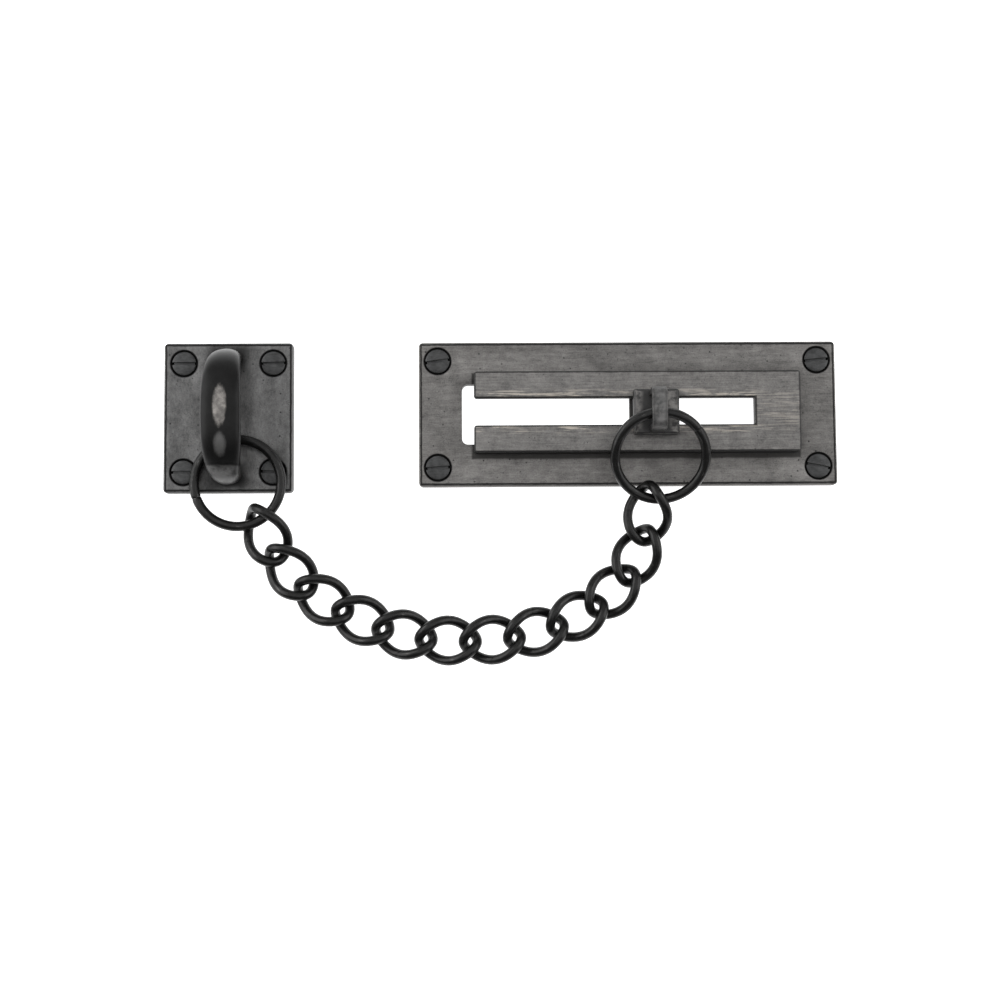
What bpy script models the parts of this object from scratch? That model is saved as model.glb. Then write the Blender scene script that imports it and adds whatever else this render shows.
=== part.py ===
"""Door chain guard: a jamb plate with a forged bow, a ring, a twelve-link chain, a second ring,
and a slider that runs in a slotted track on the door plate.

Frame: the origin is the centre of the jamb plate's back face, +X runs along the guard towards
the door plate, +Y is up on the door, and +Z is out of the plates. The guard lies on its back,
so the backs of both plates and the low side of each link are at Z = 0.
"""

import math

import bmesh
import bpy
from mathutils import Matrix, Vector

MM = 0.001

# ---- Driving dimensions, in millimetres -------------------------------------------------------

PLATE_THICKNESS = 4.0
PLATE_CORNER = 1.3
PLATE_EDGE = 0.8

JAMB_PLATE_WIDTH = 39.4
JAMB_PLATE_HEIGHT = 46.0
JAMB_SCREW_INSET_X = 6.1
JAMB_SCREW_INSET_Y = 6.3

DOOR_PLATE_WIDTH = 128.0
DOOR_PLATE_HEIGHT = 44.4
DOOR_SCREW_INSET = 5.8
DOOR_PLATE_X = 122.0
DOOR_PLATE_Y = 0.7

SCREW_HEAD = 8.0
SCREW_SHANK = 4.2
SCREW_RIM = 0.45
SCREW_SLOT_WIDTH = 1.1
SCREW_SLOT_DEPTH = 0.9
SCREW_DOME = 0.25

HOUSING_WIDTH = 24.7
HOUSING_HEIGHT = 5.6
HOUSING_EDGE = 0.7
HOUSING_CORNER = 1.2
HOUSING_END = 13.9
HOUSING_LEFT_LAND = 16.9
HOUSING_RIGHT_LAND = 11.9
RAIL_THICKNESS = 2.6
SLOT_WIDTH = 8.2
CHANNEL_WIDTH = 18.6
CHANNEL_OVERRUN = 4.5
CUTOUT_LEAD = 3.7
CUTOUT_CORNER = 1.8

BOW_INSET = 2.2
BOW_REACH = 18.5
BOW_FRONT_WIDTH = 12.0
BOW_FOOT_WIDTH = 8.2
BOW_FRONT_DEPTH = 5.0
BOW_FOOT_DEPTH = 5.6
BOW_TENON = 4.6

WIRE = 3.0
LINK_OPENING_LENGTH = 14.6
LINK_OPENING_WIDTH = 9.4
LINK_TWIST = math.radians(46.0)
FIRST_LINK_RUN = 8.71
LAST_LINK_RUN = 9.23
ROLL_REACH = 3
LINK_COUNT = 12

JAMB_RING_OPENING = 23.4
JAMB_RING_SHIFT = 3.2
JAMB_RING_DROP = 2.2
SLIDE_RING_OPENING = 24.4
SLIDE_RING_TILT = math.radians(24.0)
RING_BUTT = 0.35

SLIDER_X = 7.8
SLIDER_SAG = 0.6
BLOCK_WIDTH = 13.8
BLOCK_HEIGHT = 13.9
BLOCK_THICKNESS = 3.6
BLOCK_EDGE = 0.9
EYE_WIDTH = 4.6
EYE_THICKNESS = 2.1
EYE_SPAN = 13.0
EYE_BEND = 3.2
EYE_ROOM = 7.4
EYE_DROP = 1.1
FOOT_LENGTH = 15.0
RIVET = 4.0

# ---- Clearances ---------------------------------------------------------------------------------

GAP = 0.3
SLIDE_PLAY = 0.8
CHAIN_PLAY = 1.2
RING_PLAY = 0.9
WIRE_SEAT = 0.3
LINK_LIFT = 0.1
OVERCUT = 1.0

# ---- Places that follow from the sizes --------------------------------------------------------

PLATE_FRONT = PLATE_THICKNESS
HOUSING_FRONT = PLATE_FRONT + HOUSING_HEIGHT
HOUSING_LEFT = DOOR_PLATE_X - DOOR_PLATE_WIDTH / 2 + HOUSING_LEFT_LAND
HOUSING_RIGHT = DOOR_PLATE_X + DOOR_PLATE_WIDTH / 2 - HOUSING_RIGHT_LAND
SLOT_RIGHT = HOUSING_RIGHT - HOUSING_END
RAIL_BACK = HOUSING_FRONT - RAIL_THICKNESS
SLIDER = Vector((DOOR_PLATE_X + SLIDER_X, DOOR_PLATE_Y - SLIDER_SAG, 0.0))
BLOCK_BACK = HOUSING_FRONT + GAP
BLOCK_FRONT = BLOCK_BACK + BLOCK_THICKNESS

JAMB_RING_RADIUS = (JAMB_RING_OPENING + WIRE) / 2
SLIDE_RING_RADIUS = (SLIDE_RING_OPENING + WIRE) / 2
RING_LIE = PLATE_FRONT + GAP + WIRE / 2
BOW_LEG = JAMB_PLATE_HEIGHT / 2 - BOW_INSET - BOW_FOOT_DEPTH / 2
JAMB_RING_CENTRE = Vector((JAMB_RING_SHIFT, -BOW_LEG - JAMB_RING_DROP, RING_LIE))
JAMB_RING_PULL = math.radians(31.0)
JAMB_RING_BUTT = math.radians(200.0)

FIRST_LINK_ROLL = math.atan2(WIRE, FIRST_LINK_RUN)
LAST_LINK_ROLL = -math.atan2(WIRE, LAST_LINK_RUN)
LINK_HALF = (LINK_OPENING_LENGTH + WIRE) / 2
LINK_HALF_WIDTH = (LINK_OPENING_WIDTH + WIRE) / 2
LINK_PITCH = 2 * LINK_HALF - WIRE - CHAIN_PLAY
CHAIN_LIE = LINK_HALF_WIDTH * math.sin(LINK_TWIST / 2) + WIRE / 2 + LINK_LIFT

# The chain's route between the two rings: the share of the way across, the drop below it, and
# the lift above the height at which the links lie.
CHAIN_ROUTE = (
    (0.045, 13.2, 0.9), (0.116, 23.3, 0.6), (0.21, 31.0, 0.3), (0.32, 37.5, 0.0), (0.42, 40.6, 0.0),
    (0.52, 41.8, 0.0), (0.63, 41.5, 0.0), (0.74, 38.9, 0.0), (0.85, 33.4, 0.1), (0.937, 24.5, 0.4),
    (0.986, 12.6, 1.0),
)
START_LIFT = 0.3
END_LIFT = -0.1
SAG_RANGE = (0.5, 2.0)

EYE_TOP = BLOCK_FRONT + EYE_ROOM + EYE_THICKNESS
EYE_AXIS = Vector((SLIDER.x, SLIDER.y - EYE_DROP, EYE_TOP - EYE_THICKNESS - WIRE_SEAT - WIRE / 2))
SLIDE_RING_SWING = math.radians(4.0)
SLIDE_RING_PULL = math.radians(-14.0)
SLIDE_RING_BUTT = math.radians(38.0)

FOOT_BACK = PLATE_FRONT + GAP
FOOT_FRONT = RAIL_BACK - GAP
FOOT_WIDTH = CHANNEL_WIDTH - 2 * SLIDE_PLAY - 2 * GAP
NECK_SIZE = SLOT_WIDTH - 2 * SLIDE_PLAY

JAMB_SLOT_TURNS = (0.0, 2.0, 0.0, -3.0)
DOOR_SLOT_TURNS = (8.0, 5.0, 4.0, -12.0)


def principled(name, colour, roughness, metallic):
    """A Principled material with one colour, roughness and metallic value."""
    material = bpy.data.materials.new(name)
    material.use_nodes = True
    shader = material.node_tree.nodes["Principled BSDF"]
    shader.inputs["Base Color"].default_value = colour
    shader.inputs["Roughness"].default_value = roughness
    shader.inputs["Metallic"].default_value = metallic
    material.diffuse_color = colour
    return material


# ---- Tools ----------------------------------------------------------------------------------------

def new_collection(name):
    """A collection linked to the scene."""
    group = bpy.data.collections.new(name)
    bpy.context.scene.collection.children.link(group)
    return group


def place(name, data, group, material=None, parent=None, matrix=None):
    """An object in a collection, with its material, parent and world matrix."""
    item = bpy.data.objects.new(name, data)
    group.objects.link(item)
    if material:
        data.materials.append(material)
    if matrix is not None:
        item.matrix_world = matrix
    if parent:
        item.parent = parent
        item.matrix_parent_inverse = parent.matrix_world.inverted()
    return item


def pivot(name, position, group, parent=None):
    """An empty on a joint's axis."""
    return place(name, None, group, parent=parent, matrix=Matrix.Translation(Vector(position) * MM))


def mesh_of(item):
    """A welded mesh of a curve object, in the place of the curve."""
    bpy.context.view_layer.update()
    evaluated = item.evaluated_get(bpy.context.evaluated_depsgraph_get())
    mesh = bpy.data.meshes.new_from_object(evaluated)
    mesh.transform(item.matrix_world)
    form = bmesh.new()
    form.from_mesh(mesh)
    bmesh.ops.remove_doubles(form, verts=form.verts, dist=0.001 * MM)
    bmesh.ops.recalc_face_normals(form, faces=form.faces)
    form.to_mesh(mesh)
    form.free()
    curve = item.data
    bpy.data.objects.remove(item)
    bpy.data.curves.remove(curve)
    return mesh


def slab(outline, bottom, top):
    """A flat outline in X and Y, filled between two heights."""
    curve = bpy.data.curves.new("outline", "CURVE")
    curve.dimensions = "2D"
    curve.fill_mode = "BOTH"
    curve.extrude = (top - bottom) / 2 * MM
    spline = curve.splines.new("POLY")
    spline.points.add(len(outline) - 1)
    for point, (x, y) in zip(spline.points, outline):
        point.co = (x * MM, y * MM, 0.0, 1.0)
    spline.use_cyclic_u = True
    item = bpy.data.objects.new("outline", curve)
    bpy.context.scene.collection.objects.link(item)
    item.location.z = (top + bottom) / 2 * MM
    return mesh_of(item)


def arc(centre, radius, start, end, steps):
    """Points of an arc in degrees, both ends included."""
    points = []
    for step in range(steps + 1):
        angle = math.radians(start + (end - start) * step / steps)
        points.append((centre[0] + radius * math.cos(angle), centre[1] + radius * math.sin(angle)))
    return points


def rounded_rectangle(left, right, low, high, radius, steps=4):
    """The outline of a rectangle with round corners."""
    points = arc((right - radius, high - radius), radius, 0, 90, steps)
    points += arc((left + radius, high - radius), radius, 90, 180, steps)
    points += arc((left + radius, low + radius), radius, 180, 270, steps)
    points += arc((right - radius, low + radius), radius, 270, 360, steps)
    return points


def turned(profile, steps=24):
    """A solid of revolution about Z; the profile of radius and height runs from top to bottom."""
    mesh = bpy.data.meshes.new("profile")
    vertices = [(radius * MM, 0.0, height * MM) for radius, height in profile]
    mesh.from_pydata(vertices, [(i, i + 1) for i in range(len(profile) - 1)], [])
    item = bpy.data.objects.new("turned", mesh)
    bpy.context.scene.collection.objects.link(item)
    screw = item.modifiers.new("turn", "SCREW")
    screw.steps = steps
    screw.render_steps = steps
    screw.use_merge_vertices = True
    screw.merge_threshold = 0.001 * MM
    bpy.context.view_layer.update()
    evaluated = item.evaluated_get(bpy.context.evaluated_depsgraph_get())
    solid = bpy.data.meshes.new_from_object(evaluated)
    bpy.data.objects.remove(item)
    bpy.data.meshes.remove(mesh)
    return solid


def cuboid(low, high):
    """A box between two corners."""
    mesh = bpy.data.meshes.new("cuboid")
    form = bmesh.new()
    size = [(b - a) * MM for a, b in zip(low, high)]
    centre = [(a + b) / 2 * MM for a, b in zip(low, high)]
    matrix = Matrix.Translation(centre) @ Matrix.Diagonal((*size, 1.0))
    bmesh.ops.create_cube(form, size=1.0, matrix=matrix)
    form.to_mesh(mesh)
    form.free()
    return mesh


def bevel(item, width, segments=2):
    """Rounded or chamfered edges where two faces meet at more than 40 degrees."""
    modifier = item.modifiers.new("edges", "BEVEL")
    modifier.width = width * MM
    modifier.segments = segments
    modifier.limit_method = "ANGLE"
    modifier.angle_limit = math.radians(40)


def boolean(item, mesh, operation, cutters, matrix=None):
    """Cut a mesh out of a piece or join it on, exactly."""
    name = f"{item.name}_{operation.lower()}_{len(item.modifiers)}"
    tool = place(name, mesh, cutters, matrix=matrix)
    tool.hide_render = True
    tool.display_type = "WIRE"
    modifier = item.modifiers.new(operation.lower(), "BOOLEAN")
    modifier.operation = operation
    modifier.solver = "EXACT"
    modifier.object = tool


def wire(points, closed):
    """A round wire along points in millimetres."""
    curve = bpy.data.curves.new("wire", "CURVE")
    curve.dimensions = "3D"
    curve.bevel_depth = WIRE / 2 * MM
    curve.bevel_resolution = 3
    curve.use_fill_caps = True
    curve.twist_mode = "Z_UP"
    spline = curve.splines.new("POLY")
    spline.points.add(len(points) - 1)
    for point, position in zip(spline.points, points):
        point.co = (*(Vector(position) * MM), 1.0)
    spline.use_cyclic_u = closed
    return curve


def loft(sections):
    """A solid skinned over a row of rings of points, with a flat cap at each end."""
    form = bmesh.new()
    rings = [[form.verts.new(point * MM) for point in section] for section in sections]
    count = len(rings[0])
    for first, second in zip(rings, rings[1:]):
        for index in range(count):
            following = (index + 1) % count
            form.faces.new((first[index], first[following], second[following], second[index]))
    form.faces.new(list(reversed(rings[0])))
    form.faces.new(rings[-1])
    bmesh.ops.recalc_face_normals(form, faces=form.faces)
    mesh = bpy.data.meshes.new("loft")
    form.to_mesh(mesh)
    form.free()
    return mesh


def shade_round(item, degrees=35):
    """Smooth shading with sharp edges kept."""
    item.data.shade_smooth()
    item.data.set_sharp_from_angle(angle=math.radians(degrees))


# ---- The pieces -------------------------------------------------------------------------------------

def screw_places(centre_x, centre_y, spacing_x, spacing_y):
    """The four screw centres of a plate, row by row from the top left."""
    places = []
    for vertical in (1, -1):
        for horizontal in (-1, 1):
            x = centre_x + horizontal * spacing_x / 2
            y = centre_y + vertical * spacing_y / 2
            places.append((x, y))
    return places


def countersink():
    """The hollow that a screw seats in, a clearance wider than the screw all over."""
    head = SCREW_HEAD / 2 + GAP
    shank = SCREW_SHANK / 2 + GAP
    rim = PLATE_FRONT - SCREW_RIM
    return turned([
        (0.0, PLATE_FRONT + OVERCUT), (head, PLATE_FRONT + OVERCUT), (head, rim),
        (shank, rim - (head - shank)), (shank, -OVERCUT), (0.0, -OVERCUT),
    ])


def wood_screw(name, place_xy, turn, parent, parts, cutters, material):
    """A slotted countersunk screw, as far down as the back of its plate."""
    head = SCREW_HEAD / 2
    shank = SCREW_SHANK / 2
    rim = PLATE_FRONT - SCREW_RIM
    top = PLATE_FRONT + SCREW_DOME
    solid = turned([
        (0.0, top), (head * 0.55, top - SCREW_DOME * 0.25), (head, PLATE_FRONT - SCREW_DOME * 0.2),
        (head, rim), (shank, rim - (head - shank)), (shank, GAP), (0.0, GAP),
    ])
    matrix = Matrix.Translation((place_xy[0] * MM, place_xy[1] * MM, 0.0))
    matrix = matrix @ Matrix.Rotation(math.radians(turn), 4, "Z")
    item = place(name, solid, parts, material, parent, matrix)
    half = SCREW_SLOT_WIDTH / 2
    reach = head + OVERCUT
    slot = cuboid((-reach, -half, PLATE_FRONT - SCREW_SLOT_DEPTH), (reach, half, top + OVERCUT))
    boolean(item, slot, "DIFFERENCE", cutters, matrix)
    shade_round(item)
    return item


def bow_section(centre, along, half_width, half_depth, count=18):
    """One oval ring of the bow, across the direction that the bow runs in."""
    across = Vector((1.0, 0.0, 0.0))
    outward = along.cross(across).normalized()
    ring = []
    for index in range(count):
        angle = 2 * math.pi * index / count
        ring.append(centre + across * half_width * math.cos(angle) + outward * half_depth * math.sin(angle))
    return ring


def bow_line(angle):
    """A point of the bow's middle line, a squarish D from the lower foot to the upper one."""
    squareness = 2 / 2.5
    reach = BOW_REACH - BOW_FRONT_DEPTH / 2 - GAP
    y = -BOW_LEG * math.copysign(abs(math.cos(angle)) ** squareness, math.cos(angle))
    z = PLATE_FRONT + GAP + reach * math.sin(angle) ** squareness
    return Vector((0.0, y, z))


def staple_bow(parent, parts, material):
    """The forged bow: a tenon, a round foot, a leg that widens into the flat oval front, and back."""
    sections = []
    foot = BOW_FOOT_DEPTH / 2
    tenon = BOW_TENON / 2
    stations = 25
    rise = Vector((0.0, 0.0, 1.0))
    lower = Vector((0.0, -BOW_LEG, 0.0))
    seat = PLATE_FRONT + GAP
    sections.append(bow_section(lower + rise * GAP, rise, tenon, tenon))
    sections.append(bow_section(lower + rise * seat, rise, tenon, tenon))
    for station in range(stations):
        angle = math.pi * (0.02 + 0.96 * station / (stations - 1))
        centre = bow_line(angle)
        step = 0.01
        along = (bow_line(angle + step) - bow_line(angle - step)).normalized()
        share = math.sin(angle)
        widening = share
        half_width = BOW_FOOT_WIDTH / 2 + (BOW_FRONT_WIDTH - BOW_FOOT_WIDTH) / 2 * widening
        half_depth = foot + (BOW_FRONT_DEPTH / 2 - foot) * widening
        if station == 0:
            base = Vector((0.0, -BOW_LEG, seat))
            sections.append(bow_section(base, rise, BOW_FOOT_WIDTH / 2, foot))
        sections.append(bow_section(centre, along, half_width, half_depth))
    upper = Vector((0.0, BOW_LEG, 0.0))
    sections.append(bow_section(upper + rise * seat, -rise, BOW_FOOT_WIDTH / 2, foot))
    sections.append(bow_section(upper + rise * seat, -rise, tenon, tenon))
    sections.append(bow_section(upper + rise * GAP, -rise, tenon, tenon))
    item = place("staple_bow", loft(sections), parts, material, parent)
    shade_round(item, 50)
    return item


def back_plate(name, centre_x, centre_y, width, height, parent, parts, material):
    """A flat plate with small round corners and softened edges."""
    outline = rounded_rectangle(
        centre_x - width / 2, centre_x + width / 2, centre_y - height / 2, centre_y + height / 2, PLATE_CORNER)
    item = place(name, slab(outline, 0.0, PLATE_THICKNESS), parts, material, parent)
    bevel(item, PLATE_EDGE)
    return item


def drill(plate, places, cutters):
    """The countersunk holes of a plate."""
    for x, y in places:
        boolean(plate, countersink(), "DIFFERENCE", cutters, Matrix.Translation((x * MM, y * MM, 0.0)))


def jamb_side(parts, cutters, iron, steel, forged):
    """The jamb plate with its bow and its four screws."""
    base = pivot("jamb_side", (0.0, 0.0, 0.0), parts)
    plate = back_plate("jamb_plate", 0.0, 0.0, JAMB_PLATE_WIDTH, JAMB_PLATE_HEIGHT, base, parts, iron)
    places = screw_places(0.0, 0.0, JAMB_PLATE_WIDTH - 2 * JAMB_SCREW_INSET_X,
                          JAMB_PLATE_HEIGHT - 2 * JAMB_SCREW_INSET_Y)
    drill(plate, places, cutters)
    hole = BOW_TENON / 2 + GAP
    for side in (-1, 1):
        top = PLATE_FRONT + OVERCUT
        bore = turned([(0.0, top), (hole, top), (hole, -OVERCUT), (0.0, -OVERCUT)])
        boolean(plate, bore, "DIFFERENCE", cutters, Matrix.Translation((0.0, side * BOW_LEG * MM, 0.0)))
    staple_bow(base, parts, forged)
    for number, (spot, turn) in enumerate(zip(places, JAMB_SLOT_TURNS), 1):
        wood_screw(f"jamb_screw_{number}", spot, turn, base, parts, cutters, steel)
    return base


def ring_wire(radius, butt_angle):
    """A wire ring with a butt joint, in its own X and Y plane."""
    steps = 40
    half_butt = RING_BUTT / 2 / radius
    points = []
    for step in range(steps + 1):
        angle = butt_angle + half_butt + (2 * math.pi - 2 * half_butt) * step / steps
        points.append((radius * math.cos(angle), radius * math.sin(angle), 0.0))
    return points


def link_wire():
    """An oval link's wire: its long way is X, and its two ends are twisted opposite ways."""
    steps = 26
    points = []
    for step in range(steps):
        angle = 2 * math.pi * step / steps
        width = LINK_HALF_WIDTH * math.sin(angle)
        turn = -LINK_TWIST * math.cos(angle)
        points.append((LINK_HALF * math.cos(angle), width * math.cos(turn), width * math.sin(turn)))
    return points


def smooth(points, share):
    """A point on a smooth curve through points, at a share from 0 to 1 of its spans."""
    spans = len(points) - 1
    index = min(int(share * spans), spans - 1)
    t = share * spans - index
    before = points[max(index - 1, 0)]
    first = points[index]
    second = points[index + 1]
    after = points[min(index + 2, spans)]
    return 0.5 * (
        2 * first + (second - before) * t
        + (2 * before - 5 * first + 4 * second - after) * t ** 2
        + (3 * first - before - 3 * second + after) * t ** 3)


def chain_route(start, end, sag):
    """The route's points between two hinges, with the sag scaled."""
    chord = end - start
    along = Vector((chord.x, chord.y, 0.0)).normalized()
    below = Vector((along.y, -along.x, 0.0))
    points = [start]
    for share, drop, lift in CHAIN_ROUTE:
        point = start + along * chord.xy.length * share + below * drop * sag
        point.z = CHAIN_LIE + lift
        points.append(point)
    points.append(end)
    return points


def walk(route, pitch):
    """Points at equal straight steps along a route, and how many steps fit in all."""
    steps = [smooth(route, 0.0)]
    samples = 1500
    previous = steps[0]
    for sample in range(1, samples + 1):
        point = smooth(route, sample / samples)
        if (point - steps[-1]).length >= pitch:
            before = (previous - steps[-1]).length
            after = (point - steps[-1]).length
            steps.append(previous.lerp(point, (pitch - before) / (after - before)))
        previous = point
    return steps, len(steps) - 1 + (previous - steps[-1]).length / pitch


def chain_steps(start, end):
    """The ends of each link's pitch: the sag is the one at which the whole chain just fits."""
    low, high = SAG_RANGE
    for _ in range(40):
        sag = (low + high) / 2
        steps, fitted = walk(chain_route(start, end, sag), LINK_PITCH)
        if fitted > LINK_COUNT:
            high = sag
        else:
            low = sag
    return steps[:LINK_COUNT] + [end]


def link_frame(first, second, roll):
    """A link's middle and axes from the two ends of its pitch, rolled about its run."""
    run = (second - first).normalized()
    level = Vector((0.0, 0.0, 1.0)).cross(run).normalized()
    across = Matrix.Rotation(roll, 3, run) @ level
    normal = run.cross(across)
    matrix = Matrix((run, across, normal)).transposed().to_4x4()
    return Matrix.Translation((first + second) / 2 * MM) @ matrix


def crown_of(matrix):
    """The middle of the wire at a link's far end."""
    return matrix @ Vector((LINK_HALF * MM, 0.0, 0.0)) / MM


def ring_at(name, centre, axes, radius, butt, group, material, parent):
    """A wire ring about its centre, in the X and Y of its axes."""
    matrix = Matrix.Translation(centre * MM) @ axes
    return place(name, wire(ring_wire(radius, butt), False), group, material, parent, matrix)


def chain(jamb, parts, material):
    """The jamb ring, the links and the slide ring, each hung on the piece before it."""
    top = JAMB_RING_CENTRE + Vector((0.0, JAMB_RING_RADIUS, 0.0))
    hinge = pivot("jamb_ring_hinge", top, parts, jamb)
    parent = ring_at("jamb_ring", JAMB_RING_CENTRE, Matrix.Identity(4), JAMB_RING_RADIUS, JAMB_RING_BUTT,
                     parts, material, hinge)
    pull = Vector((math.sin(JAMB_RING_PULL), -math.cos(JAMB_RING_PULL), 0.0))
    seat = (WIRE + RING_PLAY) / 2
    start = JAMB_RING_CENTRE + pull * (JAMB_RING_RADIUS - seat)
    start.z += START_LIFT
    lean = Vector((0.0, -math.cos(SLIDE_RING_TILT), -math.sin(SLIDE_RING_TILT)))
    side = Vector((1.0, 0.0, 0.0))
    hang = lean * math.cos(SLIDE_RING_SWING) + side * math.sin(SLIDE_RING_SWING)
    centre = EYE_AXIS + hang * SLIDE_RING_RADIUS
    tug = lean * math.cos(SLIDE_RING_PULL) + side * math.sin(SLIDE_RING_PULL)
    end = centre + tug * (SLIDE_RING_RADIUS - seat)
    end.z += END_LIFT
    steps = chain_steps(start, end)
    crown = JAMB_RING_CENTRE + pull * JAMB_RING_RADIUS
    loop = wire(link_wire(), True)
    loop.materials.append(material)
    for number in range(1, LINK_COUNT + 1):
        first_share = max(0.0, 1 - (number - 1) / ROLL_REACH)
        last_share = max(0.0, 1 - (LINK_COUNT - number) / ROLL_REACH)
        roll = FIRST_LINK_ROLL * first_share + LAST_LINK_ROLL * last_share
        matrix = link_frame(steps[number - 1], steps[number], roll)
        hinge = pivot(f"link_{number:02d}_hinge", crown, parts, parent)
        parent = place(f"link_{number:02d}", loop, parts, None, hinge, matrix)
        crown = crown_of(matrix)
    hinge = pivot("slide_ring_hinge", centre + tug * SLIDE_RING_RADIUS, parts, parent)
    axes = Matrix((side, -lean, side.cross(-lean))).transposed().to_4x4()
    return ring_at("slide_ring", centre, axes, SLIDE_RING_RADIUS, SLIDE_RING_BUTT, parts, material, hinge)


def eye_outline():
    """The bridge-shaped eye seen from its side, as (Y, Z): outer bends, then the hollow."""
    half = EYE_SPAN / 2
    inner = half - EYE_THICKNESS
    top = EYE_TOP
    bend = EYE_BEND
    inner_bend = max(bend - EYE_THICKNESS, 0.6)
    root = BLOCK_FRONT - OVERCUT
    points = [(half, root)]
    points += arc((half - bend, top - bend), bend, 0, 90, 5)
    points += arc((-half + bend, top - bend), bend, 90, 180, 5)
    points += [(-half, root), (-inner, root)]
    ceiling = top - EYE_THICKNESS - inner_bend
    points += arc((-inner + inner_bend, ceiling), inner_bend, 180, 90, 4)
    points += arc((inner - inner_bend, ceiling), inner_bend, 90, 0, 4)
    points += [(inner, root)]
    return points


def slider(ring, parts, cutters, forged, iron):
    """The slider's block with its eye, neck and rivet, and the foot riveted behind the rails."""
    hinge = pivot("slider", EYE_AXIS, parts, ring)
    half_x = BLOCK_WIDTH / 2
    half_y = BLOCK_HEIGHT / 2
    outline = rounded_rectangle(-half_x, half_x, -half_y, half_y, BLOCK_EDGE)
    block = place("slider_block", slab(outline, BLOCK_BACK, BLOCK_FRONT), parts, forged, hinge,
                  Matrix.Translation(SLIDER * MM))
    bevel(block, BLOCK_EDGE, 3)
    stand = Matrix(((0, 0, 1, 0), (1, 0, 0, 0), (0, 1, 0, 0), (0, 0, 0, 1)))
    here = Matrix.Translation(SLIDER * MM)
    eye = slab(eye_outline(), -EYE_WIDTH / 2, EYE_WIDTH / 2)
    boolean(block, eye, "UNION", cutters, here @ stand)
    neck = NECK_SIZE / 2
    boolean(block, cuboid((-neck, -neck, FOOT_FRONT + GAP), (neck, neck, BLOCK_BACK + OVERCUT)), "UNION",
            cutters, here)
    rivet = turned([(0.0, BLOCK_BACK + OVERCUT), (RIVET / 2, BLOCK_BACK + OVERCUT),
                    (RIVET / 2, FOOT_BACK), (0.0, FOOT_BACK)])
    boolean(block, rivet, "UNION", cutters, here)
    half_length = FOOT_LENGTH / 2
    half_foot = FOOT_WIDTH / 2
    outline = rounded_rectangle(-half_length, half_length, -half_foot, half_foot, BLOCK_EDGE)
    foot = place("slider_foot", slab(outline, FOOT_BACK, FOOT_FRONT), parts, iron, hinge, here)
    bore = RIVET / 2 + GAP
    hole = turned([(0.0, FOOT_FRONT + OVERCUT), (bore, FOOT_FRONT + OVERCUT),
                   (bore, FOOT_BACK - OVERCUT), (0.0, FOOT_BACK - OVERCUT)])
    boolean(foot, hole, "DIFFERENCE", cutters, here)
    return hinge


def door_side(carrier, parts, cutters, iron, steel):
    """The door plate with its cut-out, the slotted track housing and four screws."""
    base = pivot("door_side", SLIDER, parts, carrier)
    plate = back_plate("door_plate", DOOR_PLATE_X, DOOR_PLATE_Y, DOOR_PLATE_WIDTH, DOOR_PLATE_HEIGHT,
                       base, parts, iron)
    channel = CHANNEL_WIDTH / 2
    channel_right = SLOT_RIGHT + CHANNEL_OVERRUN
    outline = rounded_rectangle(HOUSING_LEFT - CUTOUT_LEAD, SLOT_RIGHT + OVERCUT, DOOR_PLATE_Y - channel,
                                DOOR_PLATE_Y + channel, CUTOUT_CORNER)
    boolean(plate, slab(outline, -OVERCUT, PLATE_FRONT + OVERCUT), "DIFFERENCE", cutters)
    places = screw_places(DOOR_PLATE_X, DOOR_PLATE_Y, DOOR_PLATE_WIDTH - 2 * DOOR_SCREW_INSET,
                          DOOR_PLATE_HEIGHT - 2 * DOOR_SCREW_INSET)
    drill(plate, places, cutters)
    half = HOUSING_WIDTH / 2
    seat = PLATE_FRONT + GAP
    outline = rounded_rectangle(HOUSING_LEFT, HOUSING_RIGHT, DOOR_PLATE_Y - half, DOOR_PLATE_Y + half,
                                HOUSING_CORNER)
    housing = place("track_housing", slab(outline, seat, HOUSING_FRONT), parts, iron, base)
    bevel(housing, HOUSING_EDGE, 3)
    slot = SLOT_WIDTH / 2
    boolean(housing, cuboid((HOUSING_LEFT - OVERCUT, DOOR_PLATE_Y - slot, seat - OVERCUT),
                            (SLOT_RIGHT, DOOR_PLATE_Y + slot, HOUSING_FRONT + OVERCUT)), "DIFFERENCE", cutters)
    boolean(housing, cuboid((HOUSING_LEFT - OVERCUT, DOOR_PLATE_Y - channel, seat - OVERCUT),
                            (channel_right, DOOR_PLATE_Y + channel, RAIL_BACK)), "DIFFERENCE", cutters)
    for number, (spot, turn) in enumerate(zip(places, DOOR_SLOT_TURNS), 1):
        wood_screw(f"door_screw_{number}", spot, turn, base, parts, cutters, steel)
    return base


def build():
    """The whole guard."""
    for item in list(bpy.data.objects):
        bpy.data.objects.remove(item)
    parts = new_collection("door_chain_guard")
    cutters = new_collection("cutters")
    iron = principled("antique_iron", (0.105, 0.100, 0.094, 1.0), 0.52, 0.85)
    steel = principled("screw_steel", (0.055, 0.057, 0.060, 1.0), 0.45, 0.85)
    forged = principled("forged_iron", (0.030, 0.029, 0.028, 1.0), 0.40, 0.85)
    black = principled("wire_black", (0.024, 0.023, 0.022, 1.0), 0.36, 0.80)
    jamb = jamb_side(parts, cutters, iron, steel, forged)
    ring = chain(jamb, parts, black)
    carrier = slider(ring, parts, cutters, forged, iron)
    door_side(carrier, parts, cutters, iron, steel)


build()
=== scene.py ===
"""The door chain guard as it looks: brushed antique iron plates, a polished-worn forged bow, and
near-black wire links and rings, laid out on a pale table."""

import math
import random

import bmesh
import bpy
import numpy as np
from mathutils import Matrix, Vector


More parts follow.
